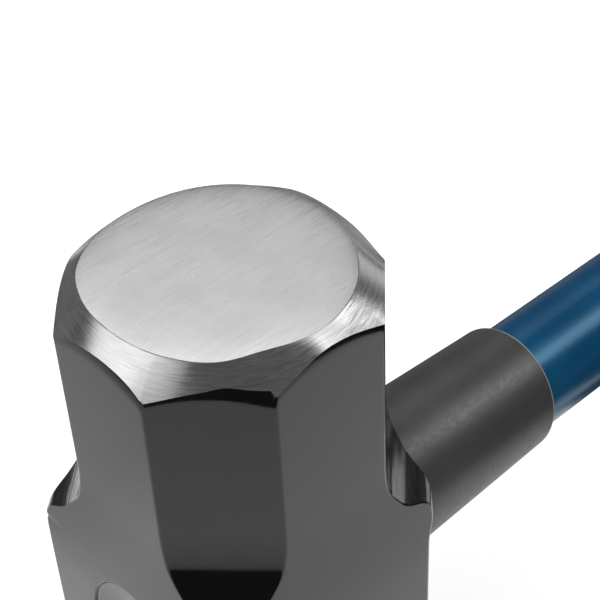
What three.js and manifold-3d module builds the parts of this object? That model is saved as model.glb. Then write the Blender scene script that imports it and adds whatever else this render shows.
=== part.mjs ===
// Double-faced octagonal sledge hammer with a jacketed fibreglass handle.
// Millimetres. The origin is the centre of the lower striking face, +Z runs up the head's
// axis and +X runs along the handle to its butt, so the hammer stands on one face.

import * as THREE from "three";
import { mergeVertices } from "three/addons/utils/BufferGeometryUtils.js";
import Module from "manifold-3d";

const wasm = await Module();
wasm.setup();

// ---------- driving dimensions ----------

const CLEARANCE = 0.3; // gap kept between pieces that touch

// Forged head
const HEAD_LENGTH = 184; // face to face
const ACROSS_FLATS = 63; // octagonal polls, over the four main flats
const ACROSS_DIAGONALS = 64.2; // octagonal polls, over the four diagonal flats
const BLOCK_WIDTH = 64.8; // square block around the eye, a little proud of the polls
const BLOCK_CORNER_RADIUS = 3;
const FACE_RADIUS = 27.5; // flat ground striking disc
const BEVEL_SLOPE = 1.0; // drop of the ground bevel per millimetre of radius
const LEDGE_DEPTH = 64.5; // from a face down to where the square block begins
const SCOOP_HEIGHT = 21; // length of the diagonal flats' run-out above the block
const SCOOP_REACH = 10.5; // how far that run-out swings outwards
const CHEEK_BLEND = 14; // length of the main flats' run-out above the block
const CUT_PAST_FACE = 10;

// Eye, an oval hole waisted in the middle
const EYE_HALF_WIDTH = 15.75;
const EYE_HALF_HEIGHT = 18.9;
const EYE_WAIST = 0.88; // waist size over mouth size
const RESIN_RECESS = 4.5; // resin surface below the top cheek
const RESIN_OVER_CORE = 1; // resin standing above the end of the core
const SEAL_THICKNESS = 5;
const SEAL_RECESS = 0.5; // seal's face below the handle-side cheek
const EYE_CUT_PAST_CHEEK = 2;

// Handle
const OVERALL_LENGTH = 900; // top cheek of the head to the butt
const CORE_RADIUS = 11;
const JACKET_RADIUS = 14.9;
const COLLAR_ROOT_RADIUS = 19.1;
const COLLAR_RIM_RADIUS = 17.2;
const COLLAR_RIM_X = 89.7; // rim, from the head's axis
const COLLAR_EDGE_RADIUS = 1.2;
const GRIP_LENGTH = 270;
const GRIP_RADIUS = 18;
const GRIP_BUTT_RADIUS = 21;
const GRIP_BUTT_LENGTH = 26;
const GRIP_BUTT_EDGE_RADIUS = 3;
const GRIP_SWELL_SHARE = 0.6; // share of the butt's length taken by the swelling
const GRIP_LIP_WALL = 1; // rubber's thickness at the grip's first edge
const GRIP_LIP_LENGTH = 4; // run over which it thickens to the full grip
const GRIP_PLAIN_START = 18; // ungrooved length next to the jacket
const GRIP_GROOVE_DEPTH = 1.2;
const GRIP_GROOVE_COUNT = 12;
const GRIP_GROOVE_PITCH = 17;
const GRIP_GROOVE_WIDTH = 5;
const GRIP_END_WALL = 5;
const PLUG_STEM_LENGTH = 16;
const PLUG_RADIUS = 12.4;
const PLUG_RECESS = 1; // plug's face below the grip's end
const PLUG_CHAMFER = 1;

// Facet counts
const ROUND_SEGMENTS = 40;
const FACE_SEGMENTS = 96;
const ARC_SEGMENTS = 10;
const EYE_STATIONS = 12;
const GROOVE_STEPS = 2;
const EDGE_STEPS = 5;
const CORNER_SEGMENTS = 6;

// ---------- derived places ----------

const EYE_Z = HEAD_LENGTH / 2;
const CHEEK_X = BLOCK_WIDTH / 2;
const BUTT_X = OVERALL_LENGTH - CHEEK_X;
const HANDLE_START_X = CHEEK_X + CLEARANCE;
const BORE_RADIUS = CORE_RADIUS + CLEARANCE;
const SLEEVE_BORE_RADIUS = JACKET_RADIUS + CLEARANCE;
const RESIN_TOP_X = -CHEEK_X + RESIN_RECESS;
const CORE_TOP_X = RESIN_TOP_X + RESIN_OVER_CORE;
const SEAL_END_X = CHEEK_X - SEAL_RECESS;
const SEAL_START_X = SEAL_END_X - SEAL_THICKNESS;
const JACKET_END_X = BUTT_X - GRIP_END_WALL - CLEARANCE;
const CORE_END_X = JACKET_END_X - PLUG_STEM_LENGTH - CLEARANCE;
const GRIP_START_X = BUTT_X - GRIP_LENGTH;

// ---------- materials ----------

const FINISHES = {
  lacquered_steel: { color: 0x3b3b3d, roughness: 0.35, metalness: 0.3 },
  fibreglass: { color: 0xb9b39a, roughness: 0.6, metalness: 0.0 },
  blue_jacket: { color: 0x05395f, roughness: 0.4, metalness: 0.0 },
  black_rubber: { color: 0x3f3f40, roughness: 0.75, metalness: 0.0 },
  grip_rubber: { color: 0x262628, roughness: 0.8, metalness: 0.0 },
  resin: { color: 0x6f7070, roughness: 0.5, metalness: 0.0 },
  seal_rubber: { color: 0x1d1d1e, roughness: 0.85, metalness: 0.0 },
  plug_plastic: { color: 0x1b1b1c, roughness: 0.5, metalness: 0.0 },
};

// ---------- helpers ----------

// A closed three.js geometry as a manifold solid.
function toSolid(geometry) {
  const bare = geometry.clone();
  bare.deleteAttribute("normal");
  bare.deleteAttribute("uv");
  const merged = mergeVertices(bare);
  const corners = merged.index.array;
  const triangles = [];
  for (let i = 0; i < corners.length; i += 3) {
    const [a, b, c] = corners.slice(i, i + 3);
    if (a !== b && b !== c && c !== a) {
      triangles.push(a, b, c);
    }
  }
  return new wasm.Manifold(
    new wasm.Mesh({
      numProp: 3,
      vertProperties: merged.attributes.position.array,
      triVerts: Uint32Array.from(triangles),
    })
  );
}

// A manifold solid as a three.js geometry.
function toGeometry(solid) {
  const mesh = solid.getMesh();
  const geometry = new THREE.BufferGeometry();
  geometry.setAttribute("position", new THREE.BufferAttribute(mesh.vertProperties, 3));
  geometry.setIndex(new THREE.BufferAttribute(mesh.triVerts, 1));
  geometry.computeVertexNormals();
  return geometry;
}

function piece(name, geometry, finish) {
  const mesh = new THREE.Mesh(geometry, new THREE.MeshStandardMaterial(FINISHES[finish]));
  mesh.name = name;
  return mesh;
}

// A solid of revolution about the handle's axis from [radius, x] points.
// scaleY and scaleZ turn its round section into an oval.
function turnedOnHandle(profile, segments = ROUND_SEGMENTS, scaleY = 1, scaleZ = 1) {
  const points = profile.map(([radius, x]) => new THREE.Vector2(radius, x));
  const geometry = new THREE.LatheGeometry(points, segments);
  geometry.rotateZ(-Math.PI / 2);
  geometry.scale(1, scaleY, scaleZ);
  geometry.translate(0, 0, EYE_Z);
  return geometry;
}

// A tube about the handle's axis: an outer [radius, x] profile with a plain bore.
function sleeve(outer, boreRadius) {
  const startX = outer[0][1];
  const endX = outer[outer.length - 1][1];
  return turnedOnHandle([[boreRadius, startX], ...outer, [boreRadius, endX], [boreRadius, startX]]);
}

// ---------- forged head ----------

// The bar that the head is forged from: a square with rounded corners.
function blockBar() {
  const half = BLOCK_WIDTH / 2;
  const inner = half - BLOCK_CORNER_RADIUS;
  const outline = new THREE.Shape();
  outline.absarc(inner, inner, BLOCK_CORNER_RADIUS, 0, Math.PI / 2);
  outline.absarc(-inner, inner, BLOCK_CORNER_RADIUS, Math.PI / 2, Math.PI);
  outline.absarc(-inner, -inner, BLOCK_CORNER_RADIUS, Math.PI, 1.5 * Math.PI);
  outline.absarc(inner, -inner, BLOCK_CORNER_RADIUS, 1.5 * Math.PI, 2 * Math.PI);
  outline.closePath();
  const settings = { depth: HEAD_LENGTH, bevelEnabled: false, curveSegments: CORNER_SEGMENTS };
  return new THREE.ExtrudeGeometry(outline, settings);
}

// What the dies take off one side of a poll: a flat at `distance` from the axis that swings
// outwards by `reach` over the last `height` above the block.
function flatCutter(distance, reach, height, angle, upsideDown) {
  const outside = BLOCK_WIDTH;
  const outline = new THREE.Shape();
  outline.moveTo(distance, -CUT_PAST_FACE);
  outline.lineTo(outside, -CUT_PAST_FACE);
  outline.lineTo(outside, LEDGE_DEPTH);
  outline.lineTo(distance + reach, LEDGE_DEPTH);
  outline.absellipse(
    distance + reach, LEDGE_DEPTH - height, reach, height, Math.PI / 2, Math.PI, false
  );
  outline.closePath();
  const width = 2 * outside;
  const settings = { depth: width, bevelEnabled: false, curveSegments: ARC_SEGMENTS };
  const geometry = new THREE.ExtrudeGeometry(outline, settings);
  geometry.translate(0, 0, -width / 2);
  geometry.rotateX(Math.PI / 2);
  geometry.rotateZ(angle);
  if (upsideDown) {
    geometry.rotateX(Math.PI);
    geometry.translate(0, 0, HEAD_LENGTH);
  }
  return toSolid(geometry);
}

// The two ground ends: flat discs with conical bevels round them.
function groundEnvelope() {
  const widest = FACE_RADIUS + BLOCK_WIDTH / 2;
  const drop = (widest - FACE_RADIUS) * BEVEL_SLOPE;
  const points = [
    new THREE.Vector2(0, 0),
    new THREE.Vector2(FACE_RADIUS, 0),
    new THREE.Vector2(widest, drop),
    new THREE.Vector2(widest, HEAD_LENGTH - drop),
    new THREE.Vector2(FACE_RADIUS, HEAD_LENGTH),
    new THREE.Vector2(0, HEAD_LENGTH),
  ];
  const geometry = new THREE.LatheGeometry(points, FACE_SEGMENTS);
  geometry.rotateX(Math.PI / 2);
  return toSolid(geometry);
}

// Everything inside the eye between two places on the handle's axis, shrunk by `inset`.
// The oval is full size at the cheeks and narrows to its waist on the head's axis.
function eyeSpace(startX, endX, inset) {
  const profile = [[0, startX]];
  for (let i = 0; i <= EYE_STATIONS; i++) {
    const x = startX + ((endX - startX) * i) / EYE_STATIONS;
    const fromWaist = (x / CHEEK_X) ** 2;
    profile.push([EYE_WAIST + (1 - EYE_WAIST) * fromWaist, x]);
  }
  profile.push([0, endX]);
  const halfWidth = EYE_HALF_WIDTH - inset;
  const halfHeight = EYE_HALF_HEIGHT - inset;
  return toSolid(turnedOnHandle(profile, ROUND_SEGMENTS, halfWidth, halfHeight));
}

function makeHead() {
  let head = toSolid(blockBar());
  for (const upsideDown of [false, true]) {
    for (let quarter = 0; quarter < 4; quarter++) {
      const square = (quarter * Math.PI) / 2;
      const proud = (BLOCK_WIDTH - ACROSS_FLATS) / 2;
      head = head.subtract(flatCutter(ACROSS_FLATS / 2, proud, CHEEK_BLEND, square, upsideDown));
      const diagonal = square + Math.PI / 4;
      head = head.subtract(
        flatCutter(ACROSS_DIAGONALS / 2, SCOOP_REACH, SCOOP_HEIGHT, diagonal, upsideDown)
      );
    }
  }
  head = head.intersect(groundEnvelope());
  const cutEnd = CHEEK_X + EYE_CUT_PAST_CHEEK;
  head = head.subtract(eyeSpace(-cutEnd, cutEnd, 0));
  return piece("head", toGeometry(head), "lacquered_steel");
}

// ---------- what fills the eye ----------

function coreWithClearance() {
  const profile = [
    [0, CORE_TOP_X - CLEARANCE],
    [BORE_RADIUS, CORE_TOP_X - CLEARANCE],
    [BORE_RADIUS, HANDLE_START_X],
    [0, HANDLE_START_X],
  ];
  return toSolid(turnedOnHandle(profile));
}

function makeResinFill() {
  const space = eyeSpace(RESIN_TOP_X, SEAL_START_X - CLEARANCE, CLEARANCE);
  return piece("eye_resin_fill", toGeometry(space.subtract(coreWithClearance())), "resin");
}

function makeEyeSeal() {
  const space = eyeSpace(SEAL_START_X, SEAL_END_X, CLEARANCE);
  return piece("eye_seal_ring", toGeometry(space.subtract(coreWithClearance())), "seal_rubber");
}

// ---------- handle ----------

function makeCore() {
  const profile = [
    [0, CORE_TOP_X],
    [CORE_RADIUS, CORE_TOP_X],
    [CORE_RADIUS, CORE_END_X],
    [0, CORE_END_X],
  ];
  return piece("fibreglass_core", turnedOnHandle(profile), "fibreglass");
}

function makeJacket() {
  const outer = [[JACKET_RADIUS, HANDLE_START_X], [JACKET_RADIUS, JACKET_END_X]];
  return piece("handle_jacket", sleeve(outer, BORE_RADIUS), "blue_jacket");
}

function makeCollar() {
  const edge = COLLAR_EDGE_RADIUS;
  const outer = [[COLLAR_ROOT_RADIUS, HANDLE_START_X]];
  for (let i = 0; i <= EDGE_STEPS; i++) {
    const turn = (i / EDGE_STEPS) * (Math.PI / 2);
    outer.push([
      COLLAR_RIM_RADIUS - edge + edge * Math.cos(turn),
      COLLAR_RIM_X - edge + edge * Math.sin(turn),
    ]);
  }
  return piece("overstrike_collar", sleeve(outer, SLEEVE_BORE_RADIUS), "black_rubber");
}

// The grip swells at the butt, has shallow round grooves along its length, and turns in over
// the end of the jacket.
function makeGrip() {
  const outer = [
    [SLEEVE_BORE_RADIUS + GRIP_LIP_WALL, GRIP_START_X],
    [GRIP_RADIUS, GRIP_START_X + GRIP_LIP_LENGTH],
  ];
  const firstGroove = GRIP_START_X + GRIP_PLAIN_START;
  for (let groove = 0; groove < GRIP_GROOVE_COUNT; groove++) {
    const start = firstGroove + groove * GRIP_GROOVE_PITCH;
    for (let i = 0; i <= GROOVE_STEPS; i++) {
      const across = i / GROOVE_STEPS;
      const depth = GRIP_GROOVE_DEPTH * Math.sin(Math.PI * across);
      outer.push([GRIP_RADIUS - depth, start + across * GRIP_GROOVE_WIDTH]);
    }
  }
  const swellStart = BUTT_X - GRIP_BUTT_LENGTH;
  for (let i = 0; i <= EDGE_STEPS; i++) {
    const along = i / EDGE_STEPS;
    const rise = ((GRIP_BUTT_RADIUS - GRIP_RADIUS) * (1 - Math.cos(Math.PI * along))) / 2;
    outer.push([GRIP_RADIUS + rise, swellStart + along * GRIP_SWELL_SHARE * GRIP_BUTT_LENGTH]);
  }
  const edge = GRIP_BUTT_EDGE_RADIUS;
  for (let i = 0; i <= EDGE_STEPS; i++) {
    const turn = (i / EDGE_STEPS) * (Math.PI / 2);
    outer.push([
      GRIP_BUTT_RADIUS - edge + edge * Math.cos(turn),
      BUTT_X - edge + edge * Math.sin(turn),
    ]);
  }
  const mouth = PLUG_RADIUS + CLEARANCE;
  const endWallX = BUTT_X - GRIP_END_WALL;
  const profile = [
    [SLEEVE_BORE_RADIUS, GRIP_START_X],
    ...outer,
    [mouth, BUTT_X],
    [mouth, endWallX],
    [SLEEVE_BORE_RADIUS, endWallX],
    [SLEEVE_BORE_RADIUS, GRIP_START_X],
  ];
  return piece("hand_grip", turnedOnHandle(profile), "grip_rubber");
}

function makeButtPlug() {
  const stemStartX = JACKET_END_X - PLUG_STEM_LENGTH;
  const flangeStartX = JACKET_END_X + CLEARANCE;
  const flangeEndX = BUTT_X - PLUG_RECESS;
  const profile = [
    [0, stemStartX],
    [CORE_RADIUS, stemStartX],
    [CORE_RADIUS, flangeStartX],
    [PLUG_RADIUS, flangeStartX],
    [PLUG_RADIUS, flangeEndX - PLUG_CHAMFER],
    [PLUG_RADIUS - PLUG_CHAMFER, flangeEndX],
    [0, flangeEndX],
  ];
  return piece("butt_plug", turnedOnHandle(profile), "plug_plastic");
}

// ---------- assembly ----------

const hammer = new THREE.Group();
hammer.add(makeHead());
hammer.add(makeResinFill());
hammer.add(makeEyeSeal());
hammer.add(makeCore());
hammer.add(makeJacket());
hammer.add(makeCollar());
hammer.add(makeGrip());
hammer.add(makeButtPlug());

export default hammer;
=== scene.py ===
"""Looks of a double-faced sledge hammer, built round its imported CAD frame. Metres throughout."""

import math

import bmesh
import bpy
import numpy as np
from mathutils import Matrix, Vector


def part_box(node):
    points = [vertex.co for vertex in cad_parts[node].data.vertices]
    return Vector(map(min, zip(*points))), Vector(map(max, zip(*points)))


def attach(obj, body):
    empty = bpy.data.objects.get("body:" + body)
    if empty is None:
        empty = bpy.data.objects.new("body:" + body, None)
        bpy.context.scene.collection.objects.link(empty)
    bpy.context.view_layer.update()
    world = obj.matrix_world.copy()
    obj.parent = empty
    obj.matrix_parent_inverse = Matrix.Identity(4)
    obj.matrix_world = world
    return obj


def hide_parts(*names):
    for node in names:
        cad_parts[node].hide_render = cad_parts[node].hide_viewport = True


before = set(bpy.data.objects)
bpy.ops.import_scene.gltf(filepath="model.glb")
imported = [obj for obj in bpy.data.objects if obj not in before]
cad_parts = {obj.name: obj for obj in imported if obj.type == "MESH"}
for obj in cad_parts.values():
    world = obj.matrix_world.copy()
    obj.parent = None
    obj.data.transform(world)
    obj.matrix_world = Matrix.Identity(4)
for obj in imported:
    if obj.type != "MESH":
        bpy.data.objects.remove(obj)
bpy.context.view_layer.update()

MM = 0.001
FULL_TURN = 2 * math.pi

# ---------- places taken from the frame ----------

head_low, head_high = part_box("head")
collar_low, collar_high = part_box("overstrike_collar")
jacket_low, jacket_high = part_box("handle_jacket")
grip_low, grip_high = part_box("hand_grip")
resin_low, resin_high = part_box("eye_resin_fill")
core_low, core_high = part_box("fibreglass_core")

HEAD_LENGTH = head_high.z - head_low.z
BLOCK_HALF = head_high.y
AXIS_Z = (jacket_low.z + jacket_high.z) / 2
ACROSS_FLATS = 63 * MM
POLL_HALF = ACROSS_FLATS / 2
CLEARANCE = 0.3 * MM  # gap that the CAD pieces keep between them
SLEEVE_BORE = jacket_high.y + CLEARANCE
COLLAR_LEAN = 0.115  # how far the collar's rim leans along the handle, for each unit of height

# ---------- camera ----------

CAMERA_BACK = 4.631  # distance from the upper face, in widths across the flats
CAMERA_HEADING = 49.41  # degrees from the handle's direction
CAMERA_DOWN = 39.72
CAMERA_ROLL = -2.98
CAMERA_LENS = 89.7
SENSOR = 36.0
# where the upper face's centre lies from the picture's centre, in widths across the flats
FACE_OFF_RIGHT = -0.2475
FACE_OFF_UP = 0.1094


def add_camera():
    heading = math.radians(CAMERA_HEADING)
    down = math.radians(CAMERA_DOWN)
    roll = math.radians(CAMERA_ROLL)
    level_ahead = Vector((math.cos(heading), math.sin(heading), 0))
    forward = math.cos(down) * level_ahead - math.sin(down) * Vector((0, 0, 1))
    level_right = Vector((math.sin(heading), -math.cos(heading), 0))
    level_up = level_right.cross(forward)
    right = math.cos(roll) * level_right + math.sin(roll) * level_up
    up = right.cross(forward)
    camera = bpy.data.objects.new("camera", bpy.data.cameras.new("camera"))
    camera.data.sensor_width = SENSOR
    camera.data.lens = CAMERA_LENS
    camera.data.clip_start = 0.01
    camera.data.clip_end = 100
    face_centre = Vector((0, 0, head_high.z))
    offset = CAMERA_BACK * forward + FACE_OFF_RIGHT * right + FACE_OFF_UP * up
    place = face_centre - ACROSS_FLATS * offset
    turn = Matrix((right, up, -forward)).transposed()
    camera.matrix_world = Matrix.Translation(place) @ turn.to_4x4()
    bpy.context.scene.collection.objects.link(camera)
    bpy.context.scene.camera = camera


# ---------- mesh helpers ----------


def smooth_step(x):
    x = np.clip(x, 0, 1)
    return x * x * (3 - 2 * x)


def curve_between(share, width, start, end, slope_start, slope_end):
    """A smooth curve between two values, `width` apart, with given slopes at its ends."""
    u = share
    return (
        (2 * u**3 - 3 * u**2 + 1) * start
        + (u**3 - 2 * u**2 + u) * width * slope_start
        + (3 * u**2 - 2 * u**3) * end
        + (u**3 - u**2) * width * slope_end
    )


def periodic_curve(pairs, degrees):
    """A smooth closed curve through (degrees, value) pairs, read at other directions."""
    angles = np.array([a for a, _ in pairs], float)
    values = np.array([v for _, v in pairs], float)
    angles = np.concatenate([angles[-2:] - 360, angles, angles[:2] + 360])
    values = np.concatenate([values[-2:], values, values[:2]])
    slopes = np.zeros(len(values))
    slopes[1:-1] = (values[2:] - values[:-2]) / (angles[2:] - angles[:-2])
    at = np.mod(degrees, 360)
    i = np.clip(np.searchsorted(angles, at, side="right") - 1, 1, len(angles) - 3)
    width = angles[i + 1] - angles[i]
    share = (at - angles[i]) / width
    return curve_between(share, width, values[i], values[i + 1], slopes[i], slopes[i + 1])


def mesh_object(name, vertices, faces, materials, face_materials=None, sharp_edges=()):
    """A smooth-shaded mesh object. sharp_edges are pairs of vertex numbers that stay crisp."""
    mesh = bpy.data.meshes.new(name)
    mesh.from_pydata([tuple(v) for v in vertices], [], [tuple(int(i) for i in f) for f in faces])
    for material in materials:
        mesh.materials.append(material)
    mesh.polygons.foreach_set("use_smooth", [True] * len(mesh.polygons))
    if face_materials is not None:
        mesh.polygons.foreach_set("material_index", face_materials)
    if len(sharp_edges):
        crisp = {tuple(sorted(pair)) for pair in sharp_edges}
        for edge in mesh.edges:
            if tuple(sorted(edge.vertices)) in crisp:
                edge.use_edge_sharp = True
    mesh.update()
    made = bpy.data.objects.new(name, mesh)
    bpy.context.scene.collection.objects.link(made)
    return made


def ring_faces(ring_count, columns, closed=False):
    """Quads between rings of equal column counts, in the order that faces outwards."""
    faces = []
    for ring in range(ring_count if closed else ring_count - 1):
        following = (ring + 1) % ring_count
        for column in range(columns):
            beside = (column + 1) % columns
            faces.append((
                ring * columns + column,
                following * columns + column,
                following * columns + beside,
                ring * columns + beside,
            ))
    return faces


def place_piece(piece, slot, *nodes):
    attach(piece, "root")
    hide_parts(*nodes)


# ---------- material helpers ----------


class Nodes:
    """A short way to write a material's node tree."""

    def __init__(self, name):
        self.material = bpy.data.materials.new(name)
        self.material.use_nodes = True
        self.tree = self.material.node_tree
        self.shader = self.tree.nodes["Principled BSDF"]
        self.place = self.add("ShaderNodeTexCoord").outputs["Object"]

    def add(self, kind, **settings):
        node = self.tree.nodes.new(kind)
        for key, value in settings.items():
            setattr(node, key, value)
        return node

    def link(self, source, target):
        self.tree.links.new(source, target)

    def feed(self, socket, value):
        if isinstance(value, bpy.types.NodeSocket):
            self.link(value, socket)
        else:
            socket.default_value = value

    def math(self, operation, first, second=0.0):
        node = self.add("ShaderNodeMath", operation=operation)
        self.feed(node.inputs[0], first)
        self.feed(node.inputs[1], second)
        return node.outputs[0]

    def stretch(self, scale):
        """The place in the object, scaled by a different amount on each axis."""
        node = self.add("ShaderNodeMapping")
        self.link(self.place, node.inputs["Vector"])
        node.inputs["Scale"].default_value = scale
        return node.outputs[0]

    def noise(self, scale, detail=3.0, source=None, roughness=0.5):
        node = self.add("ShaderNodeTexNoise")
        self.link(source or self.place, node.inputs["Vector"])
        node.inputs["Scale"].default_value = scale
        node.inputs["Detail"].default_value = detail
        node.inputs["Roughness"].default_value = roughness
        return node.outputs["Fac"]

    def between(self, source, low, high, out_low=0.0, out_high=1.0):
        """Maps a range of a value smoothly onto another."""
        node = self.add("ShaderNodeMapRange", interpolation_type="SMOOTHSTEP")
        self.feed(node.inputs["Value"], source)
        node.inputs["From Min"].default_value = low
        node.inputs["From Max"].default_value = high
        node.inputs["To Min"].default_value = out_low
        node.inputs["To Max"].default_value = out_high
        return node.outputs["Result"]

    def blend(self, share, first, second):
        """Mixes two colours by a share."""
        node = self.add("ShaderNodeMix", data_type="RGBA")
        self.feed(node.inputs["Factor"], share)
        for socket, colour in (("A", first), ("B", second)):
            linked = isinstance(colour, bpy.types.NodeSocket)
            self.feed(node.inputs[socket], colour if linked else (*colour, 1))
        return node.outputs["Result"]

    def marks_round_axis(self, along, across):
        """Noise drawn out round the head's axis, as left by a grinding belt."""
        x, y, z = self.split_place()
        squares = self.math("ADD", self.math("MULTIPLY", x, x), self.math("MULTIPLY", y, y))
        out = self.math("SQRT", squares)
        joined = self.add("ShaderNodeCombineXYZ")
        self.link(self.math("MULTIPLY", self.math("DIVIDE", x, out), along), joined.inputs[0])
        self.link(self.math("MULTIPLY", self.math("DIVIDE", y, out), along), joined.inputs[1])
        self.link(self.math("MULTIPLY", out, across), joined.inputs[2])
        node = self.add("ShaderNodeTexNoise", noise_dimensions="4D")
        self.link(joined.outputs[0], node.inputs["Vector"])
        self.link(self.math("MULTIPLY", z, across), node.inputs["W"])
        node.inputs["Scale"].default_value = 1.0
        node.inputs["Detail"].default_value = 3.0
        return node.outputs["Fac"]

    def split_place(self):
        """The x, y and z of the place in the object."""
        parts = self.add("ShaderNodeSeparateXYZ")
        self.link(self.place, parts.inputs[0])
        return parts.outputs

    def bump(self, height, strength, distance, below=None):
        node = self.add("ShaderNodeBump")
        node.inputs["Strength"].default_value = strength
        node.inputs["Distance"].default_value = distance
        self.link(height, node.inputs["Height"])
        if below is not None:
            self.link(below, node.inputs["Normal"])
        return node.outputs[0]

    def set(self, **values):
        """Feeds the shader's sockets, named with underscores for spaces."""
        for name, value in values.items():
            self.feed(self.shader.inputs[name.replace("_", " ")], value)

    def set_matt(self, colour):
        self.set(Base_Color=colour, Roughness=0.9, Specular_IOR_Level=0.0)


def lacquered_steel():
    """Dark clear lacquer over the forging."""
    n = Nodes("lacquered_steel")
    broad = n.noise(35, 3)
    fine = n.noise(420, 4)
    specks = n.noise(1500, 2)
    # the tilted walls of the scoops keep the ripples of the forging die
    tilt = n.add("ShaderNodeSeparateXYZ")
    n.link(n.add("ShaderNodeNewGeometry").outputs["Normal"], tilt.inputs[0])
    tilted = n.between(n.math("ABSOLUTE", tilt.outputs[2]), 0.2, 0.6)
    ripples = n.math("MULTIPLY", tilted, n.noise(1.0, 2, n.stretch((70, 70, 850))))
    colour = n.blend(n.between(broad, 0.35, 0.7), (0.0012, 0.0012, 0.0013), (0.0024, 0.0024, 0.0025))
    dusty = n.between(specks, 0.7, 0.8)
    n.set(
        Base_Color=n.blend(n.math("MULTIPLY", dusty, 0.15), colour, (0.03, 0.03, 0.03)),
        Roughness=n.between(fine, 0.3, 0.75, 0.14, 0.2),
        IOR=1.42,
        Normal=n.bump(fine, 0.03, 0.0001, n.bump(ripples, 0.3, 0.0004, n.bump(broad, 0.06, 0.001))),
    )
    return n.material


def ground_face_steel():
    """The striking disc: straight brush marks along the handle's direction."""
    n = Nodes("ground_face_steel")
    hairs = n.noise(1.0, 4, n.stretch((110, 3000, 1)), 0.6)
    strokes = n.noise(1.0, 3, n.stretch((30, 480, 1)))
    smudges = n.noise(110, 4)
    tone = n.blend(n.between(hairs, 0.3, 0.7), (0.55, 0.55, 0.55), (0.69, 0.69, 0.685))
    tone = n.blend(n.between(strokes, 0.35, 0.65, 0.0, 0.3), tone, (0.72, 0.72, 0.715))
    n.set(
        Base_Color=n.blend(n.between(smudges, 0.4, 0.65, 0.0, 0.45), tone, (0.55, 0.55, 0.55)),
        Metallic=1.0,
        Roughness=n.between(hairs, 0.3, 0.7, 0.26, 0.38),
        Anisotropic=0.6,
        Normal=n.bump(hairs, 0.18, 0.0001),
    )
    across = n.add("ShaderNodeCombineXYZ")
    across.inputs[1].default_value = 1.0
    n.link(across.outputs[0], n.shader.inputs["Tangent"])
    return n.material


def ground_bevel_steel():
    """The ground bevel: belt marks that run round it."""
    n = Nodes("ground_bevel_steel")
    hairs = n.marks_round_axis(6.0, 3200)
    strokes = n.marks_round_axis(4.0, 700)
    smudges = n.noise(160, 3)
    tone = n.blend(n.between(hairs, 0.3, 0.7), (0.5, 0.5, 0.5), (0.68, 0.68, 0.675))
    tone = n.blend(n.between(strokes, 0.35, 0.65, 0.0, 0.3), tone, (0.68, 0.68, 0.675))
    n.set(
        Base_Color=n.blend(n.between(smudges, 0.4, 0.65, 0.0, 0.3), tone, (0.55, 0.55, 0.55)),
        Metallic=1.0,
        Roughness=n.between(hairs, 0.3, 0.7, 0.2, 0.26),
        Anisotropic=0.6,
        Anisotropic_Rotation=0.25,
        Normal=n.bump(hairs, 0.12, 0.0001),
    )
    tangent = n.add("ShaderNodeTangent", direction_type="RADIAL", axis="Z")
    n.link(tangent.outputs[0], n.shader.inputs["Tangent"])
    return n.material


def plain_moulding(name, dark, light, rough_low, rough_high):
    """Rubber or plastic with a mottled colour, a fine grain and slow ripples."""
    n = Nodes(name)
    mottle = n.noise(45, 4)
    fine = n.noise(900, 3)
    n.set(
        Base_Color=n.blend(n.between(mottle, 0.3, 0.7), dark, light),
        Roughness=n.between(fine, 0.3, 0.7, rough_low, rough_high),
        IOR=1.5,
        Normal=n.bump(fine, 0.15, 0.0002, n.bump(mottle, 0.1, 0.001)),
    )
    return n.material


def collar_rubber():
    """Satin rubber with a paler line round its rim: a painted highlight of the rim's rounded edge, broken
    up like wear.
    """
    n = Nodes("collar_rubber")
    mottle = n.noise(45, 4)
    fine = n.noise(900, 3)
    x, _, z = n.split_place()
    leaned = n.math("MULTIPLY", n.math("SUBTRACT", z, AXIS_Z), COLLAR_LEAN)
    reach = n.math("SUBTRACT", x, leaned)
    rim = collar_high.x
    on_edge = n.math(
        "MULTIPLY",
        n.between(reach, rim - 1.1 * MM, rim - 0.6 * MM),
        n.between(reach, rim - 0.3 * MM, rim - 0.1 * MM, 1.0, 0.1),
    )
    # painted highlight on the rim's rounded edge, partly wear: a paler brownish line
    worn_and_lit_rim = n.math("MULTIPLY", on_edge, n.between(mottle, 0.2, 0.6, 0.5, 1.0))
    rubber = n.blend(n.between(mottle, 0.3, 0.7), (0.017, 0.017, 0.018), (0.025, 0.025, 0.025))
    n.set(
        Base_Color=n.blend(worn_and_lit_rim, rubber, (0.24, 0.215, 0.19)),
        Roughness=n.between(fine, 0.3, 0.7, 0.38, 0.46),
        IOR=1.5,
        Normal=n.bump(fine, 0.1, 0.0002, n.bump(mottle, 0.1, 0.001)),
    )
    return n.material


def blue_plastic():
    """Extruded blue plastic: faint lines along it and a tinted sheen."""
    n = Nodes("blue_plastic")
    drawn = n.noise(1.0, 3, n.stretch((14, 900, 900)))
    mottle = n.noise(60, 3)
    patches = n.between(mottle, 0.3, 0.7)
    n.set(
        Base_Color=n.blend(patches, (0.0003, 0.025, 0.063), (0.0006, 0.033, 0.078)),
        Roughness=n.between(drawn, 0.3, 0.7, 0.23, 0.28),
        IOR=1.46,
        Specular_Tint=(0.3, 0.66, 0.85, 1.0),
        Normal=n.bump(drawn, 0.05, 0.0002),
    )
    return n.material


# ---------- head ----------

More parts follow.
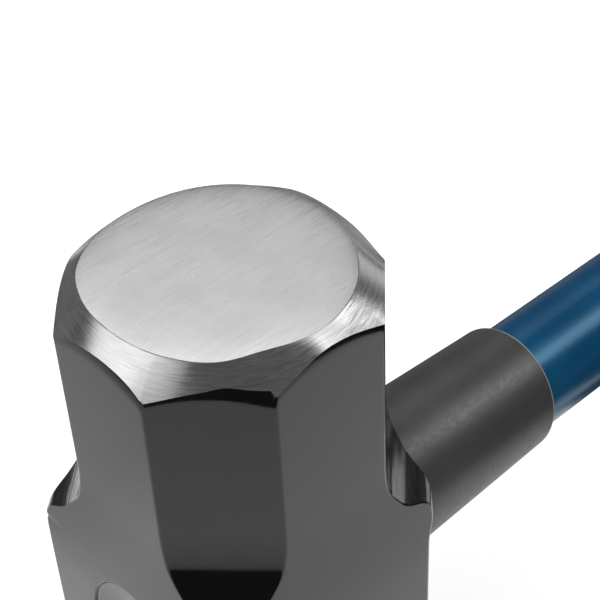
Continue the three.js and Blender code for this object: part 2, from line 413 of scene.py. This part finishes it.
# Hand-ground ends: degrees from the handle's direction, radius of the flat disc, and drop of
# the bevel for each unit outwards. Radii are shares of the width across the flats.
GROUND_DISC = [
    (0, 0.430), (45, 0.438), (90, 0.434), (135, 0.452), (157, 0.441), (180, 0.430),
    (208, 0.439), (228, 0.446), (247, 0.425), (270, 0.440), (292, 0.437), (322, 0.428),
]
GROUND_SLOPE = [
    (0, 0.9), (20, 0.7), (50, 0.9), (90, 1.0), (135, 1.12), (158, 1.2), (180, 1.02), (197, 1.02),
    (210, 1.16), (224, 1.24), (234, 1.0), (244, 0.8), (256, 0.66), (270, 0.54), (292, 0.73),
    (318, 0.8), (337, 1.18), (350, 1.0),
]

RIDGE_RADIUS = 1.3 * MM
# Forged scoops at 45, 135, 225 and 315 degrees: depth below the face and distance of the
# diagonal flat from the axis, in millimetres.
SCOOPS = [
    [(43, 32.1), (49.5, 32.5), (54, 33.7), (58, 36.0), (62, 39.6), (65, 42.3), (68.5, 44.1), (72, 44.5)],
    [(43, 32.1), (50, 32.7), (55, 34.0), (60.5, 37.2), (63.5, 39.5), (67, 43.1), (69, 44.2), (72, 45.1)],
    [(43, 32.1), (49.5, 32.5), (53.5, 33.4), (57, 35.5), (61, 39.2), (64.5, 42.4), (68, 44.3), (72, 44.8)],
    [
        (43, 32.1), (50.5, 32.6), (53.5, 33.4), (56.5, 34.8), (59.5, 36.5), (61, 38), (62.6, 40.3),
        (65, 41.8), (69, 42.5), (77, 41.8),
    ],
]
CORNER_RADII = [3.0 * MM, 1.0 * MM, 2.0 * MM, 1.6 * MM]
SCOOP_TOP, SCOOP_BOTTOM = 43 * MM, 72 * MM
SCOOP_STEEP_FROM = 52 * MM
BLOCK_EDGE_TOP = 60 * MM
CHEEK_START = 46 * MM
CHEEK_END = 84 * MM
FACE_CROWN = 0.32 * MM
FACE_CROWN_POWER = 9
DISC_EDGE_ROUND = 0.55 * MM
ARC_ZONE = 16 * MM  # the columns' rows follow the bevel's arcs down to here
LOWER_END_TURN = 137  # degrees by which the lower end's hand-ground shape is turned

# Forged chamfer under the bevel: its lower edge below the face, its steepness, and the length
# over which it is softened. The main flats go from +X round to -Y, the diagonals from 45 degrees.
CHAMFER_START = ([1.5, 2.0, 2.6, 0.2], [3.0, 3.0, 4.69, 1.0])
CHAMFER_STEEPNESS = ([1.0, 1.0, 1.0, 1.0], [1.6, 1.6, 2.0, 1.6])
CHAMFER_BLEND = ([4.0, 4.0, 4.0, 4.0], [0.8, 0.8, 0.5, 0.8])

FLAT_STEPS = 20
RIDGE_STEPS = 5
DIAGONAL_STEPS = 16
COLUMNS = 4 * (FLAT_STEPS - 2 + 2 * (RIDGE_STEPS + 1) + DIAGONAL_STEPS - 1)


def section(half, diagonal, ridge):
    """One ring of the head: four main flats at `half`, four diagonal flats at diagonal[k],
    their ridges rounded by ridge[k]. It starts on the main flat at -45 degrees from corner 0."""
    corner_points = []
    for k in range(4):
        angle = math.radians(45 + 90 * k)
        out = np.array([math.cos(angle), math.sin(angle)])
        along = np.array([-math.sin(angle), math.cos(angle)])
        width = math.sqrt(2) * half - diagonal[k]
        radius = min(ridge[k], 0.98 * width / (math.sqrt(2) - 1))
        flat = width - radius * (math.sqrt(2) - 1)
        centre = diagonal[k] - radius
        turns = np.radians(np.linspace(45, 0, RIDGE_STEPS + 1))[:, None]
        first = out * centre - along * flat + radius * (np.cos(turns) * out - np.sin(turns) * along)
        shares = np.linspace(-1, 1, DIAGONAL_STEPS + 1)[1:-1, None]
        middle = out * diagonal[k] + along * flat * shares
        last = out * centre + along * flat + radius * (np.cos(turns) * out + np.sin(turns) * along)
        corner_points.append(np.concatenate([first, middle, last[::-1]]))
    ring = []
    for k in range(4):
        ring.append(corner_points[k])
        start, end = corner_points[k][-1], corner_points[(k + 1) % 4][0]
        shares = np.linspace(0, 1, FLAT_STEPS)[1:-1, None]
        ring.append(start + (end - start) * shares)
    return np.concatenate(ring)


def profile_at(profile, depth):
    """The diagonal flat's distance from the axis, on a smooth curve through the profile."""
    depths = np.array([d for d, _ in profile]) * MM
    values = np.array([v for _, v in profile]) * MM
    if depth <= depths[0] or depth >= depths[-1]:
        return values[0] if depth <= depths[0] else values[-1]
    steps = np.diff(values) / np.diff(depths)
    slopes = np.zeros(len(values))
    slopes[1:-1] = (steps[1:] + steps[:-1]) / 2
    i = np.searchsorted(depths, depth) - 1
    width = depths[i + 1] - depths[i]
    share = (depth - depths[i]) / width
    return curve_between(share, width, values[i], values[i + 1], slopes[i], slopes[i + 1])


def section_at(depth):
    """The forged section at one depth below a face."""
    cheek = smooth_step((depth - CHEEK_START) / (CHEEK_END - CHEEK_START))
    half = POLL_HALF + (BLOCK_HALF - POLL_HALF) * cheek
    diagonals = [profile_at(profile, depth) for profile in SCOOPS]
    block = smooth_step((depth - BLOCK_EDGE_TOP) / (SCOOP_BOTTOM - BLOCK_EDGE_TOP))
    ridges = [RIDGE_RADIUS + (corner - RIDGE_RADIUS) * block for corner in CORNER_RADII]
    return section(half, diagonals, ridges)


def ring_depths():
    """Depths of the rings from the arc zone to the middle of the head."""
    return np.concatenate([
        np.linspace(ARC_ZONE, SCOOP_TOP, 12),
        np.linspace(SCOOP_TOP, SCOOP_STEEP_FROM, 10)[1:],
        np.linspace(SCOOP_STEEP_FROM, SCOOP_BOTTOM, 44)[1:],
        np.linspace(SCOOP_BOTTOM, HEAD_LENGTH / 2, 16)[1:],
    ])


def chamfered(ring, depth, start, steepness, blend):
    """Pulls the ring in where the forged chamfer has taken the edge off. The chamfer's lower edge
    is `start` below the face on a flat's middle and lower towards the ridges. It rises inwards by
    `steepness`, softened over `blend`."""
    radius = np.hypot(ring[:, 0], ring[:, 1])
    limit = radius - (start + radius - POLL_HALF - depth) / steepness
    share = np.clip(blend - np.abs(radius - limit), 0, None) / blend
    softened = np.minimum(radius, limit) - share**2 * blend / 4
    return ring * (softened / radius)[:, None]


def column_values(on_flats, on_diagonals):
    """One value for each column: a value for each main flat and each diagonal, eased over the
    ridges between them."""
    values = []
    for k in range(4):
        before, here, after = on_flats[k], on_diagonals[k], on_flats[(k + 1) % 4]
        ease = smooth_step(np.linspace(0, 1, RIDGE_STEPS + 1))
        values.append(before + (here - before) * ease)
        values.append(np.full(DIAGONAL_STEPS - 1, here))
        values.append(here + (after - here) * ease)
        values.append(np.full(FLAT_STEPS - 2, after))
    return np.concatenate(values)


def end_rings(turned):
    """Rings of one end, from the disc's middle outwards and down to the arc zone, with depths.
    `turned` turns the hand-ground shape so that the two ends differ."""
    poll = section_at(0.0)
    degrees = np.degrees(np.arctan2(poll[:, 1], poll[:, 0]))
    directions = poll / np.hypot(poll[:, 0], poll[:, 1])[:, None]
    disc = periodic_curve(GROUND_DISC, degrees + turned) * ACROSS_FLATS
    slope = periodic_curve(GROUND_SLOPE, degrees + turned)
    chamfer = (
        column_values(*CHAMFER_START) * MM,
        column_values(*CHAMFER_STEEPNESS),
        column_values(*CHAMFER_BLEND) * MM,
    )

    # where the ground bevel meets the forged side, by halving the interval for every column
    low = np.zeros(COLUMNS)
    high = np.full(COLUMNS, ARC_ZONE)
    for _ in range(40):
        middle = (low + high) / 2
        side = np.hypot(*chamfered(poll, middle, *chamfer).T)
        inside = side > disc + middle / slope
        low = np.where(inside, middle, low)
        high = np.where(inside, high, middle)
    arc_depth = low
    arc_ring = chamfered(poll, arc_depth, *chamfer)
    arc_radius = np.hypot(arc_ring[:, 0], arc_ring[:, 1])

    rings, depths, kinds = [], [], []
    for share in (0.1, 0.3, 0.5, 0.65, 0.75, 0.82, 0.88, 0.92, 0.95, 0.97):
        rings.append(directions * (disc * share)[:, None])
        depths.append(np.full(COLUMNS, FACE_CROWN * share**FACE_CROWN_POWER))
        kinds.append("disc")
    bevel_turn = np.arctan(slope)
    for share in (0.0, 0.25, 0.5, 0.75, 1.0):
        turn = bevel_turn * share
        back = DISC_EDGE_ROUND * np.tan(bevel_turn / 2)
        radius = disc - back + DISC_EDGE_ROUND * np.sin(turn)
        rings.append(directions * radius[:, None])
        depths.append(FACE_CROWN + DISC_EDGE_ROUND * (1 - np.cos(turn)))
        kinds.append("disc" if share < 0.4 else "bevel")
    start_radius = np.hypot(rings[-1][:, 0], rings[-1][:, 1])
    start_depth = depths[-1]
    for share in (0.15, 0.35, 0.55, 0.75, 0.92, 1.0):
        radius = start_radius + (arc_radius - start_radius) * share
        rings.append(directions * radius[:, None])
        depths.append(start_depth + (arc_depth - start_depth) * share)
        kinds.append("bevel")
    arc_index = len(rings) - 1
    for share in np.linspace(0, 1, 20)[1:-1] ** 1.6:
        depth = arc_depth + (ARC_ZONE - arc_depth) * share
        rings.append(chamfered(poll, depth, *chamfer))
        depths.append(depth)
        kinds.append("side")
    return rings, depths, kinds, arc_index


# Small dents: degrees, depth below the upper face, half-width and deepest point, in millimetres.
NICKS = [(135, 72, 0.9, 0.55), (205, 118, 1.4, 0.25), (318, 109, 1.2, 0.35)]


def nicked(ring, depth):
    """The ring with the dents of NICKS pushed in."""
    degrees = np.degrees(np.arctan2(ring[:, 1], ring[:, 0]))
    radius = np.hypot(ring[:, 0], ring[:, 1])
    pushed = radius.copy()
    for at, below, half_width, deepest in NICKS:
        aside = np.radians((degrees - at + 180) % 360 - 180) * radius / (half_width * MM)
        along = (depth - below * MM) / (half_width * MM)
        pushed -= deepest * MM * np.exp(-aside**2 - along**2)
    return ring * (pushed / radius)[:, None]


def head_grid():
    """All rings from the upper disc's middle to the lower one's, with heights and kinds."""
    rings, heights, kinds, crisp = [], [], [], []
    upper_rings, upper_depths, upper_kinds, arc = end_rings(0)
    for ring, depth in zip(upper_rings, upper_depths):
        rings.append(ring)
        heights.append(HEAD_LENGTH - depth)
    kinds += upper_kinds
    crisp.append(arc)
    middle = ring_depths()
    for depth in middle:
        rings.append(nicked(section_at(depth), depth))
        heights.append(np.full(COLUMNS, HEAD_LENGTH - depth))
        kinds.append("side")
    for depth in middle[::-1][1:]:
        rings.append(nicked(section_at(depth), HEAD_LENGTH - depth))
        heights.append(np.full(COLUMNS, depth))
        kinds.append("side")
    lower_rings, lower_depths, lower_kinds, arc = end_rings(LOWER_END_TURN)
    crisp.append(len(rings) + len(lower_rings) - 1 - arc)
    for ring, depth in zip(lower_rings[::-1], lower_depths[::-1]):
        rings.append(ring)
        heights.append(depth)
    kinds += lower_kinds[::-1]
    return rings, heights, kinds, crisp


def make_head(materials):
    rings, heights, kinds, crisp = head_grid()
    ring_count = len(rings)
    points = np.concatenate([
        np.column_stack([ring, height]) for ring, height in zip(rings, heights)
    ])
    top, bottom = len(points), len(points) + 1
    points = np.vstack([points, [0, 0, HEAD_LENGTH], [0, 0, 0]])
    faces = ring_faces(ring_count, COLUMNS)
    last = (ring_count - 1) * COLUMNS
    for column in range(COLUMNS):
        beside = (column + 1) % COLUMNS
        faces.append((top, column, beside))
        faces.append((bottom, last + beside, last + column))
    slots = {"side": 0, "disc": 1, "bevel": 2}
    face_materials = []
    for pair in zip(kinds, kinds[1:]):
        # a band between two kinds belongs to the one further from the disc
        kind = next(kind for kind in ("side", "bevel", "disc") if kind in pair)
        face_materials += [slots[kind]] * COLUMNS
    face_materials += [slots["disc"]] * (2 * COLUMNS)
    sharp = []
    for ring in crisp:
        first = ring * COLUMNS
        for column in range(COLUMNS):
            sharp.append((first + column, first + (column + 1) % COLUMNS))
    head = mesh_object("forged_head", points, faces, materials, face_materials, sharp)
    cut_eye(head, materials)
    place_piece(head, "forged_head", "head")


# ---------- eye and what fills it ----------

EYE_HALF_WIDTH = 15.75 * MM
EYE_HALF_HEIGHT = 18.9 * MM
EYE_WAIST = 0.88
EYE_MOUTH_ROUND = 0.9 * MM
EYE_PLAIN_FROM = 3 * MM  # depth below the cheek at which the wall is past the rounded mouth
EYE_SEGMENTS = 96


def mouth_flare(depth):
    """How far the eye's rounded mouth opens out at a depth below the cheek."""
    if depth >= EYE_MOUTH_ROUND:
        return 0.0
    return EYE_MOUTH_ROUND * (1 - math.sin(math.acos(1 - depth / EYE_MOUTH_ROUND)))


def cut_eye(head, materials):
    """Cuts the waisted oval eye, with rounded mouths, through the block."""
    cheek = BLOCK_HALF
    past_cheek = 2 * MM
    mouth = [(cheek + past_cheek, EYE_MOUTH_ROUND * 1.6)]
    for turn in np.radians([15, 40, 65, 90]):
        x = cheek - EYE_MOUTH_ROUND * (1 - math.cos(turn))
        mouth.append((x, EYE_MOUTH_ROUND * (1 - math.sin(turn))))
    wall = np.linspace(-cheek + EYE_PLAIN_FROM, cheek - EYE_PLAIN_FROM, 11)
    stations = [(-x, flare) for x, flare in mouth] + [(x, 0.0) for x in wall] + mouth[::-1]
    turns = np.arange(EYE_SEGMENTS) / EYE_SEGMENTS * FULL_TURN
    rings = []
    for x, flare in stations:
        size = EYE_WAIST + (1 - EYE_WAIST) * min(1, (x / cheek) ** 2)
        rings.append(np.column_stack([
            np.full(EYE_SEGMENTS, x),
            (EYE_HALF_WIDTH * size + flare) * np.cos(turns),
            AXIS_Z + (EYE_HALF_HEIGHT * size + flare) * np.sin(turns),
        ]))
    points = np.concatenate(rings)
    faces = [tuple(reversed(f)) for f in ring_faces(len(rings), EYE_SEGMENTS)]
    faces.append(tuple(range(EYE_SEGMENTS))[::-1])
    faces.append(tuple(range(len(points) - EYE_SEGMENTS, len(points))))
    cutter = mesh_object("eye_cutter", points, faces, materials)
    outward_faces(cutter)
    cut = head.modifiers.new("eye", "BOOLEAN")
    cut.operation = "DIFFERENCE"
    cut.solver = "EXACT"
    cut.object = cutter
    # keeps the flat cheeks flat in shading, right up to the eye's rounded mouth
    even = head.modifiers.new("even_shading", "WEIGHTED_NORMAL")
    even.weight = 90
    even.keep_sharp = True
    apply_modifiers(head)
    bpy.data.objects.remove(cutter)


RESIN_GAP = 0.04 * MM
RESIN_AT_WALL = 0.4 * MM
RESIN_AT_MIDDLE = resin_low.x + BLOCK_HALF


def make_resin(material):
    """The poured resin that locks the handle in: its free surface climbs the eye's wall."""
    turns = np.arange(EYE_SEGMENTS) / EYE_SEGMENTS * FULL_TURN

    def ring(x, share=1.0, radius=None):
        size = EYE_WAIST + (1 - EYE_WAIST) * (x / BLOCK_HALF) ** 2
        spare = mouth_flare(x + BLOCK_HALF) - RESIN_GAP
        wide = radius or (EYE_HALF_WIDTH * size + spare) * share
        high = radius or (EYE_HALF_HEIGHT * size + spare) * share
        return np.column_stack([
            np.full(EYE_SEGMENTS, x),
            wide * np.cos(turns),
            AXIS_Z + high * np.sin(turns),
        ])

    rings = []
    for share in (0.02, 0.15, 0.3, 0.45, 0.6, 0.72, 0.82, 0.89, 0.94, 0.97, 0.99, 1.0):
        drop = RESIN_AT_MIDDLE + (RESIN_AT_WALL - RESIN_AT_MIDDLE) * share**5
        rings.append(ring(-BLOCK_HALF + drop, share))
    for depth in (0.6 * MM, 0.75 * MM, EYE_MOUTH_ROUND, 2 * MM):
        rings.append(ring(-BLOCK_HALF + depth))
    for x in np.linspace(-BLOCK_HALF + EYE_PLAIN_FROM, resin_high.x, 9):
        rings.append(ring(x))
    for x in (resin_high.x, core_low.x - CLEARANCE):
        rings.append(ring(x, radius=core_high.y + CLEARANCE))
    points = np.concatenate(rings)
    faces = ring_faces(len(rings), EYE_SEGMENTS)
    faces.append(tuple(range(EYE_SEGMENTS)))
    faces.append(tuple(range(len(points) - EYE_SEGMENTS, len(points))))
    resin = mesh_object("poured_resin", points, faces, [material])
    outward_faces(resin)
    even = resin.modifiers.new("even_shading", "WEIGHTED_NORMAL")
    even.keep_sharp = True
    apply_modifiers(resin)
    place_piece(resin, "eye_resin", "eye_resin_fill")


def outward_faces(piece):
    fix = bmesh.new()
    fix.from_mesh(piece.data)
    bmesh.ops.recalc_face_normals(fix, faces=fix.faces)
    fix.to_mesh(piece.data)
    fix.free()


def apply_modifiers(piece):
    graph = bpy.context.evaluated_depsgraph_get()
    final = bpy.data.meshes.new_from_object(piece.evaluated_get(graph))
    piece.modifiers.clear()
    piece.data = final


# ---------- turned pieces on the handle's axis ----------

TURNED_SEGMENTS = 128
COLLAR_RIM_RADIUS = 17.2 * MM
COLLAR_EDGE = 1.2 * MM
COLLAR_ROOT_EDGE = 0.4 * MM
COLLAR_MOUTH_EDGE = 0.3 * MM
JACKET_BORE = core_high.y + CLEARANCE
JACKET_EDGE = 0.5 * MM
GRIP_RADIUS = 18 * MM
GRIP_START_EDGE = 2 * MM
GRIP_GROOVE_COUNT = 12
GRIP_GROOVE_START = 18 * MM
GRIP_GROOVE_WIDTH = 5 * MM
GRIP_GROOVE_PITCH = 17 * MM
GRIP_GROOVE_DEPTH = 1.2 * MM
GRIP_BUTT_LENGTH = 26 * MM
GRIP_SWELL_LENGTH = 15.6 * MM
GRIP_BUTT_EDGE = 3 * MM
GRIP_END_WALL = 5 * MM
GRIP_MOUTH_RADIUS = 12.7 * MM
GRIP_MOUTH_EDGE = 0.4 * MM


def turned(name, profile, material, shape=None):
    """A piece turned about the handle's axis from (x, radius) points that close on themselves.
    `shape` may move the finished points."""
    turns = np.arange(TURNED_SEGMENTS) / TURNED_SEGMENTS * FULL_TURN
    rings = []
    for x, radius in profile:
        rings.append(np.column_stack([
            np.full(TURNED_SEGMENTS, x),
            radius * np.cos(turns),
            AXIS_Z + radius * np.sin(turns),
        ]))
    points = np.concatenate(rings)
    if shape is not None:
        points = shape(points)
    faces = ring_faces(len(rings), TURNED_SEGMENTS, closed=True)
    made = mesh_object(name, points, faces, [material])
    outward_faces(made)
    return made


def rounded(x, radius, size, start, end, steps):
    """Points of a small arc about (x, radius), from one direction to another in degrees."""
    return [
        (x + size * math.cos(math.radians(a)), radius + size * math.sin(math.radians(a)))
        for a in np.linspace(start, end, steps)
    ]


def bore_back(start, end, bore):
    """Points along the bore, from its end back to its start."""
    return [(start + (end - start) * share, bore) for share in np.linspace(1, 0, 6)[1:-1]]


def make_collar(material):
    root = collar_high.y
    start, end = collar_low.x, collar_high.x
    edge, small, mouth = COLLAR_EDGE, COLLAR_ROOT_EDGE, COLLAR_MOUTH_EDGE
    profile = [(start, SLEEVE_BORE), (start, root - small)]
    profile += rounded(start + small, root - small, small, 180, 90, 4)[1:]
    for share in np.linspace(0, 1, 26)[1:-1]:
        x = start + (end - edge - start) * share
        profile.append((x, root + (COLLAR_RIM_RADIUS - root) * share))
    profile += rounded(end - edge, COLLAR_RIM_RADIUS - edge, edge, 85, 5, 7)
    profile += [(end, COLLAR_RIM_RADIUS - edge - 0.2 * MM), (end, SLEEVE_BORE + mouth)]
    profile += rounded(end - mouth, SLEEVE_BORE + mouth, mouth, -10, -80, 3)
    profile += bore_back(start, end, SLEEVE_BORE)

    def lean(points):
        """The rim is moulded a little out of square: its top reaches further along the handle."""
        share = (points[:, 0] - start) / (end - start)
        points[:, 0] += COLLAR_LEAN * (points[:, 2] - AXIS_Z) * share**2
        return points

    collar = turned("overstrike_sleeve", profile, material, shape=lean)
    place_piece(collar, "collar_rubber", "overstrike_collar")


def make_jacket(material):
    outer = jacket_high.y
    start, end = jacket_low.x, jacket_high.x
    edge = JACKET_EDGE
    profile = [(start, JACKET_BORE), (start, outer - edge)]
    profile += rounded(start + edge, outer - edge, edge, 180, 90, 4)[1:]
    for share in np.linspace(0, 1, 90)[1:-1]:
        profile.append((start + edge + (end - 2 * edge - start) * share, outer))
    profile += rounded(end - edge, outer - edge, edge, 90, 0, 4)
    profile.append((end, JACKET_BORE))
    profile += bore_back(start, end, JACKET_BORE)
    jacket = turned("blue_jacket", profile, material)
    place_piece(jacket, "blue_jacket", "handle_jacket")


def make_grip(material):
    body, butt = GRIP_RADIUS, grip_high.y
    start, end = grip_low.x, grip_high.x
    width, pitch = GRIP_GROOVE_WIDTH, GRIP_GROOVE_PITCH
    edge, lip = GRIP_START_EDGE, GRIP_MOUTH_EDGE
    profile = [(start, SLEEVE_BORE)]
    profile += rounded(start + edge, body - edge, edge, 180, 90, 7)
    for groove in range(GRIP_GROOVE_COUNT):
        at = start + GRIP_GROOVE_START + groove * pitch
        for share in np.linspace(0, 1, 9):
            depth = GRIP_GROOVE_DEPTH * math.sin(math.pi * share) ** 0.8
            profile.append((at + width * share, body - depth))
        for share in (0.25, 0.5, 0.75):
            profile.append((at + width + (pitch - width) * share, body))
    swell_start = end - GRIP_BUTT_LENGTH
    for share in np.linspace(0, 1, 10):
        x = swell_start + GRIP_SWELL_LENGTH * share
        profile.append((x, body + (butt - body) * smooth_step(share)))
    edge = GRIP_BUTT_EDGE
    profile += rounded(end - edge, butt - edge, edge, 90, 0, 8)
    profile += rounded(end - lip, GRIP_MOUTH_RADIUS + lip, lip, 0, -90, 4)
    profile += [(end - GRIP_END_WALL, GRIP_MOUTH_RADIUS), (end - GRIP_END_WALL, SLEEVE_BORE)]
    grip = turned("rubber_grip", profile, material)
    place_piece(grip, "grip_rubber", "hand_grip")


# ---------- floor and light ----------


def add_floor():
    size = 30.0
    floor = mesh_object(
        "floor",
        [(-size, -size, 0), (size, -size, 0), (size, size, 0), (-size, size, 0)],
        [(0, 1, 2, 3)],
        [floor_material()],
    )


def floor_material():
    n = Nodes("pale_floor")
    n.set_matt(n.blend(n.noise(3, 2), (0.84, 0.84, 0.84), (0.88, 0.88, 0.88)))
    return n.material


def direction(azimuth, elevation):
    a, e = math.radians(azimuth), math.radians(elevation)
    return Vector((math.cos(e) * math.cos(a), math.cos(e) * math.sin(a), math.sin(e)))


def add_lamp(name, place, aim, width, height, radiance):
    """A rectangular lamp at `place` that faces `aim`."""
    lamp = bpy.data.lights.new(name, "AREA")
    lamp.shape = "RECTANGLE"
    lamp.size, lamp.size_y = width, height
    lamp.energy = radiance * math.pi * width * height
    made = bpy.data.objects.new(name, lamp)
    made.location = place
    made.rotation_mode = "QUATERNION"
    made.rotation_quaternion = (Vector(place) - Vector(aim)).to_track_quat("Z", "Y")
    bpy.context.scene.collection.objects.link(made)
    made.visible_camera = False
    return made


def add_card(name, corners, material):
    """A card seen only in reflections."""
    hide_but_reflect(mesh_object(name, corners, [(0, 1, 2, 3)], [material]))


def hide_but_reflect(card):
    card.visible_camera = False
    card.visible_diffuse = False
    card.visible_shadow = False


def standing_card(name, azimuth, distance, half_width, height, material):
    """A card that stands upright, square to the direction in which it lies from the head."""
    middle = direction(azimuth, 0) * distance
    across = direction(azimuth + 90, 0) * half_width
    foot = Vector((0, 0, 1 * MM))
    top = Vector((0, 0, height))
    left, right = middle - across, middle + across
    add_card(name, [left + foot, right + foot, right + top, left + top], material)


def add_cards():
    near = card_material("near_card", (0.075, 0.075, 0.075), (0.09, 0.09, 0.09))
    far = card_material("far_card", (0.12, 0.12, 0.12), (0.15, 0.15, 0.15))
    # sheets that only reflections see: painted shade on the floor under and beside the handle
    reflected_shade = card_material("painted_shade_sheet", (0.02, 0.02, 0.02), (0.03, 0.03, 0.03))
    grey_reflected_shade = card_material("grey_shade_sheet", (0.09, 0.09, 0.09), (0.11, 0.11, 0.11))
    standing_card("card_before_head", CAMERA_HEADING + 180, 0.3, 0.2, 0.5, near)
    standing_card("card_behind_head", 95, 0.27, 0.1, 0.27, far)
    lift = 1 * MM
    # painted shade in reflections: dark sheets lie where the handle's shadow falls and where the floor is
    # dim
    for name, near_end, far_end, right, left, material in (
        ("painted_shade_right_of_handle", 0.2, 0.8, -0.6, -0.06, reflected_shade),
        ("painted_handle_shadow", 0.165, 0.22, -0.06, 0.04, reflected_shade),
        ("painted_shade_left_of_handle", 0.12, 0.5, 0.04, 0.4, grey_reflected_shade),
        ("paper_left_of_head", -0.5, -0.04, 0.05, 0.26, shaded_paper()),
    ):
        corners = [(near_end, right), (far_end, right), (far_end, left), (near_end, left)]
        add_card(name, [(x, y, lift) for x, y in corners], material)
    add_surround()


def shaded_paper():
    """As pale as the floor near the head, greyer further out: painted shade on the floor, seen only in
    reflections.
    """
    n = Nodes("shaded_paper")
    further_out = n.between(n.split_place()[1], 0.09, 0.13)
    n.set_matt(n.blend(further_out, (0.86, 0.86, 0.86), (0.66, 0.66, 0.66)))
    return n.material


def add_surround():
    """A grey ring on the floor, which keeps the far floor dim in reflections."""
    inner, outer, segments = 0.3, 3.0, 64
    lift = 0.5 * MM
    points = []
    for radius in (inner, outer):
        for turn in np.arange(segments) / segments * FULL_TURN:
            points.append((radius * math.cos(turn), radius * math.sin(turn), lift))
    n = Nodes("surround")
    far_out = n.add("ShaderNodeVectorMath", operation="LENGTH")
    n.link(n.place, far_out.inputs[0])
    share = n.between(far_out.outputs["Value"], 0.35, 0.9)
    n.set_matt(n.blend(share, (0.74, 0.74, 0.74), (0.14, 0.14, 0.14)))
    faces = [tuple(reversed(face)) for face in ring_faces(2, segments)]
    hide_but_reflect(mesh_object("surround", points, faces, [n.material]))


def card_material(name, dark, light):
    n = Nodes(name)
    n.set_matt(n.blend(n.noise(20, 2), dark, light))
    return n.material


STUDIO_GLOW = 0.11  # what reflections see between the panels
MATT_LIGHT = 0.5
BACKDROP = 1.0


def add_world():
    """A dark studio with lit panels round it, which only show in reflections. The camera itself
    sees it pale, and matt surfaces get an even light from it."""
    world = bpy.data.worlds.new("studio")
    world.use_nodes = True
    tree = world.node_tree
    background = tree.nodes["Background"]
    background.inputs["Color"].default_value = (1, 1, 1, 1)
    coordinates = tree.nodes.new("ShaderNodeTexCoord")
    parts = tree.nodes.new("ShaderNodeSeparateXYZ")
    tree.links.new(coordinates.outputs["Generated"], parts.inputs[0])

    def calculate(operation, first, second=0.0):
        node = tree.nodes.new("ShaderNodeMath")
        node.operation = operation
        for socket, value in zip(node.inputs, (first, second)):
            if isinstance(value, bpy.types.NodeSocket):
                tree.links.new(value, socket)
            else:
                socket.default_value = value
        return node.outputs[0]

    def rise(value, low, high):
        """0 below `low`, 1 above `high`; the other way round if low is above high."""
        node = tree.nodes.new("ShaderNodeMapRange")
        node.interpolation_type = "SMOOTHSTEP"
        tree.links.new(value, node.inputs["Value"])
        node.inputs["From Min"].default_value = min(low, high)
        node.inputs["From Max"].default_value = max(low, high)
        node.inputs["To Min"].default_value = 0.0 if low < high else 1.0
        node.inputs["To Max"].default_value = 1.0 if low < high else 0.0
        return node.outputs["Result"]

    height = calculate("ARCSINE", parts.outputs[2])

    def panel(azimuth, left, right, bottom, top, strength):
        """A panel of light. `left` and `right` are the degrees from its azimuth at which it
        starts and ends, `bottom` and `top` elevations; each is a pair, dark first, then lit."""
        x, y, _ = parts.outputs
        c, s = math.cos(math.radians(azimuth)), math.sin(math.radians(azimuth))
        ahead = calculate("ADD", calculate("MULTIPLY", x, c), calculate("MULTIPLY", y, s))
        aside = calculate("ADD", calculate("MULTIPLY", y, c), calculate("MULTIPLY", x, -s))
        turn = calculate("ARCTAN2", aside, ahead)
        lit = rise(turn, *map(math.radians, left))
        for edge, value in ((right, turn), (bottom, height), (top, height)):
            lit = calculate("MULTIPLY", lit, rise(value, *map(math.radians, edge)))
        return calculate("MULTIPLY", lit, strength)

    total = STUDIO_GLOW
    for strength in (
        panel(49, (-24, -15), (55, 40), (24, 52), (82, 62), 1.6),
        panel(158, (-34, -28), (50, -2), (9, 16), (60, 46), 1.4),
        panel(-24, (-30, -22), (16, 9), (30, 42), (70, 62), 2.3),
        panel(22, (-28, -12), (24, 12), (-20, -12), (20, 12), 0.6),
    ):
        total = calculate("ADD", total, strength)
    seen = tree.nodes.new("ShaderNodeLightPath")
    for kind, plain in (("Is Diffuse Ray", MATT_LIGHT), ("Is Camera Ray", BACKDROP)):
        choose = tree.nodes.new("ShaderNodeMix")
        tree.links.new(seen.outputs[kind], choose.inputs["Factor"])
        tree.links.new(total, choose.inputs["A"])
        choose.inputs["B"].default_value = plain
        total = choose.outputs["Result"]
    tree.links.new(total, background.inputs["Strength"])
    bpy.context.scene.world = world


def add_lights():
    add_world()
    add_cards()
    overhead = add_lamp(
        "overhead", (0.35, -0.15, 1.1), aim=(0.35, -0.15, 0), width=1.2, height=1.2, radiance=4.3
    )
    overhead.visible_glossy = False
    # a strip along the handle, for the bright line on it
    strip = add_lamp(
        "handle_strip", (0.31, -0.125, 0.31), aim=(0.31, 0, 0.1), width=0.26, height=0.085, radiance=5
    )
    strip.visible_diffuse = False


# ---------- build ----------

add_camera()
add_floor()
add_lights()

make_head([lacquered_steel(), ground_face_steel(), ground_bevel_steel()])
make_collar(collar_rubber())
make_jacket(blue_plastic())
make_resin(plain_moulding("resin", (0.2, 0.2, 0.2), (0.26, 0.26, 0.255), 0.4, 0.55))
make_grip(plain_moulding("grip_rubber", (0.012, 0.012, 0.013), (0.02, 0.02, 0.021), 0.6, 0.75))
for node, *look in (
    ("eye_seal_ring", "seal_rubber", (0.012, 0.012, 0.012), (0.02, 0.02, 0.02), 0.7, 0.85),
    ("fibreglass_core", "fibreglass", (0.4, 0.36, 0.26), (0.52, 0.48, 0.38), 0.4, 0.6),
    ("butt_plug", "plug_plastic", (0.008, 0.008, 0.009), (0.015, 0.015, 0.016), 0.45, 0.6),
):
    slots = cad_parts[node].data.materials
    slots.clear()
    slots.append(plain_moulding(*look))

bpy.context.scene.view_settings.view_transform = "Standard"
